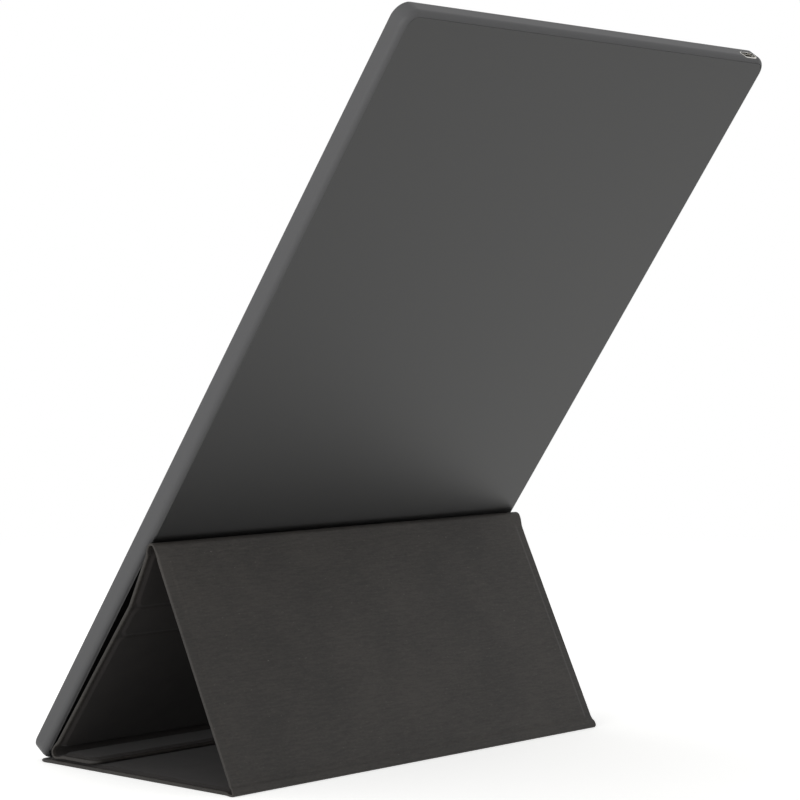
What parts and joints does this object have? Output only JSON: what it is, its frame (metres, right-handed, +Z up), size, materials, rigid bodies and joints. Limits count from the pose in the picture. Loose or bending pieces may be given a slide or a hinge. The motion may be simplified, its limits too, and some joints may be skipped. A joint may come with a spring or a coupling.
{
  "type": "portable monitor with cover",
  "caption": "Slim portable monitor standing upright on a magnetic cover folded into a tent, with two press keys, a data and power socket and a pen hole in the corner.",
  "frame": {"origin": "centre of the cover base's underside, on the table", "axes": "+X across the display towards its narrow-border long side, +Y to the rear of the stand, +Z up"},
  "size_m": [0.2264, 0.213, 0.298],
  "materials": {
    "side_band": "satin metallic paint on moulded plastic",
    "back_metal": "fine blasted, anodised dark grey",
    "bezel": "moulded, fine texture",
    "screen_glass": "anti-glare, dark when off",
    "diffuser": "matt film",
    "clear_acrylic": "polished",
    "led": "moulded packages",
    "white_mould": "moulded",
    "steel": "pressed",
    "foam": "closed-cell foam",
    "circuit_board": "solder mask",
    "chip": "moulded",
    "silicone_pad": "soft",
    "graphite": "rolled",
    "amber_film": "film",
    "ribbon": "film",
    "plated_shell": "nickel plated",
    "magnet": "nickel plated",
    "lamp": "clear",
    "key": "moulded, fine texture",
    "cover_leather": "coated synthetic leather, fine grain",
    "fibre_board": "pressed fibre",
    "cover_lining": "short-nap microfibre"
  },
  "bodies": {
    "cover_base": {"base_skin": "cover_leather", "base_board": "fibre_board", "base_lining": "cover_lining", "base_magnets": "magnet", "rear_fold": "cover_leather"},
    "rear_flap": {"rear_skin": "cover_leather", "rear_board": "fibre_board", "rear_lining": "cover_lining", "ridge_fold": "cover_leather"},
    "front_panel": {"front_skin": "cover_leather", "front_board": "fibre_board", "front_lining": "cover_lining", "front_magnets": "magnet", "toe_fold": "cover_leather"},
    "tongue": {"tongue_skin": "cover_leather", "tongue_board": "fibre_board", "tongue_lining": "cover_lining", "tongue_magnets": "magnet"},
    "display": {"side_frame": "side_band", "back_plate": "back_metal", "front_bezel": "bezel", "lcd_panel": "screen_glass", "film_stack": "diffuser", "light_guide": "clear_acrylic", "led_strip": "led", "panel_mould": "white_mould", "backlight_tray": "steel", "bezel_gasket": "foam", "spacer_pads": "foam", "main_board": "circuit_board", "board_chips": "chip", "shield_can": "steel", "thermal_pad": "silicone_pad", "heat_sheet": "graphite", "key_board": "circuit_board", "driver_board": "circuit_board", "panel_flexes": "amber_film", "video_flex": "ribbon", "key_flex": "ribbon", "board_screws": "steel", "socket_shell": "plated_shell", "socket_tongue": "chip", "socket_rim": "plated_shell", "pen_sleeve": "bezel", "menu_switch": "steel", "power_switch": "steel", "power_lamp": "lamp", "display_magnets": "magnet"},
    "menu_button": {"menu_key": "key"},
    "power_button": {"power_key": "key"}
  },
  "joints": [
    {"name": "rear_hinge", "type": "hinge", "parent": "cover_base", "child": "rear_flap", "pos_m": [0, 0.05823, 0.0012], "axis": [-1, 0, 0], "range_deg": [0, 115], "deforming": ["rear_fold"]},
    {"name": "ridge_hinge", "type": "hinge", "parent": "rear_flap", "child": "front_panel", "pos_m": [0, 0.01229, 0.09273], "axis": [-1, 0, 0], "range_deg": [0, 115], "deforming": ["ridge_fold"]},
    {"name": "toe_hinge", "type": "hinge", "parent": "front_panel", "child": "tongue", "pos_m": [0, -0.04704, 0.0051], "axis": [1, 0, 0], "range_deg": [0, 50], "deforming": ["toe_fold"]},
    {"name": "display_lift", "type": "slide", "parent": "front_panel", "child": "display", "axis": [0, -0.8161, 0.5779], "range_m": [0, 0.06]},
    {"name": "menu_press", "type": "slide", "parent": "display", "child": "menu_button", "axis": [0, 0.8161, -0.5779], "range_m": [0, 0.00025], "stiffness_N_per_m": 1500, "springref_m": -0.0004},
    {"name": "power_press", "type": "slide", "parent": "display", "child": "power_button", "axis": [0, 0.8161, -0.5779], "range_m": [0, 0.00025], "stiffness_N_per_m": 1500, "springref_m": -0.0004}
  ]
}
